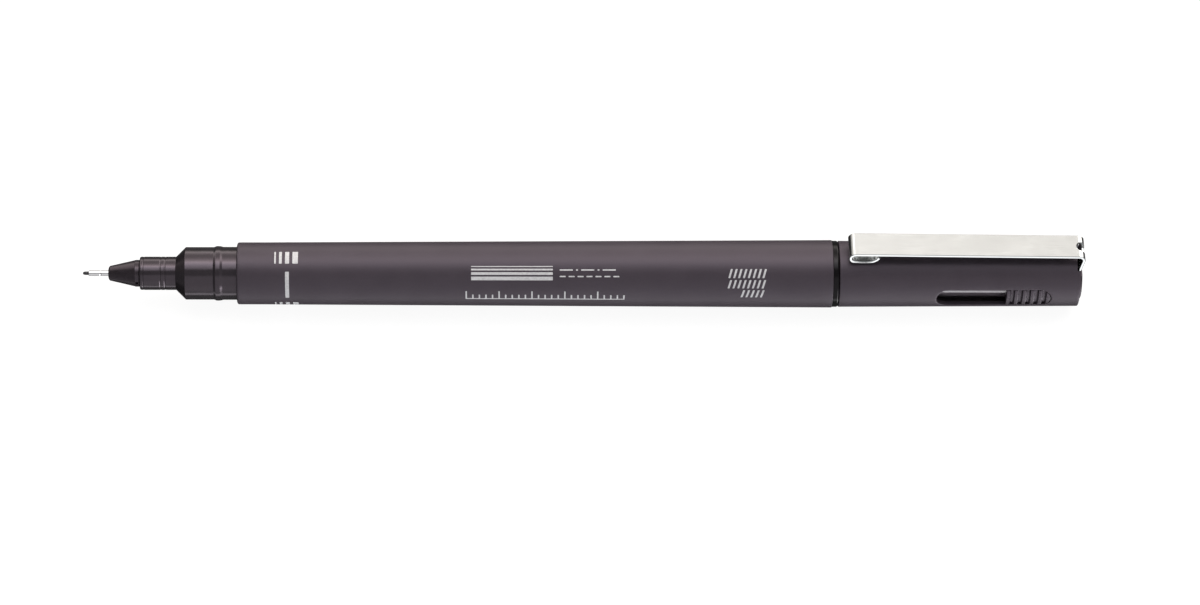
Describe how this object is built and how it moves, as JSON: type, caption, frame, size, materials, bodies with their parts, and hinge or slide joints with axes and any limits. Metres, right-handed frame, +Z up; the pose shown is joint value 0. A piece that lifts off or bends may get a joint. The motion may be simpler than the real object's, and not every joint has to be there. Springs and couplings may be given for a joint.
{
  "type": "technical pen",
  "caption": "Pigment-ink technical pen with a steel-sleeved fine nib, stepped front section, long matte barrel, and a clip cap posted on the tail.",
  "frame": {"origin": "the writing point, at the very front of the nib, on the pen axis", "axes": "+X along the pen axis from the writing point to the tail and the posted cap; +Z up through the clip of the posted cap; +Y to the side"},
  "size_m": [0.1527, 0.0104, 0.0126],
  "materials": {
    "matte_black": "fine spark-eroded matte, charcoal black",
    "gloss_black": "polished moulded black",
    "satin_black": "satin moulded black",
    "sleeve_steel": "drawn and polished",
    "clip_steel": "finely brushed, polished edges",
    "nib_fibre": "ink-soaked fibre",
    "wick_fibre": "ink-soaked fibre rod",
    "ink_fibre": "ink-soaked fibre bundle",
    "film": "clear thin film"
  },
  "bodies": {
    "pen": {"barrel": "matte_black", "front_section": "gloss_black", "nose_cone": "satin_black", "tip_sleeve": "sleeve_steel", "nib": "nib_fibre", "relay_wick": "wick_fibre", "ink_reservoir": "ink_fibre", "reservoir_film": "film", "tail_plug": "gloss_black"},
    "cap": {"cap_shell": "matte_black", "inner_cap": "gloss_black", "cap_end_plug": "matte_black"},
    "clip": {"clip": "clip_steel"}
  },
  "joints": [
    {"name": "cap_pull", "type": "slide", "parent": "pen", "child": "cap", "axis": [1, 0, 0], "range_m": [0, 0.03]},
    {"name": "clip_flex", "type": "hinge", "parent": "cap", "child": "clip", "pos_m": [0.1517, 0, 0.0032], "axis": [0, 1, 0], "range_deg": [0, 4], "stiffness_Nm_per_rad": 0.12}
  ]
}
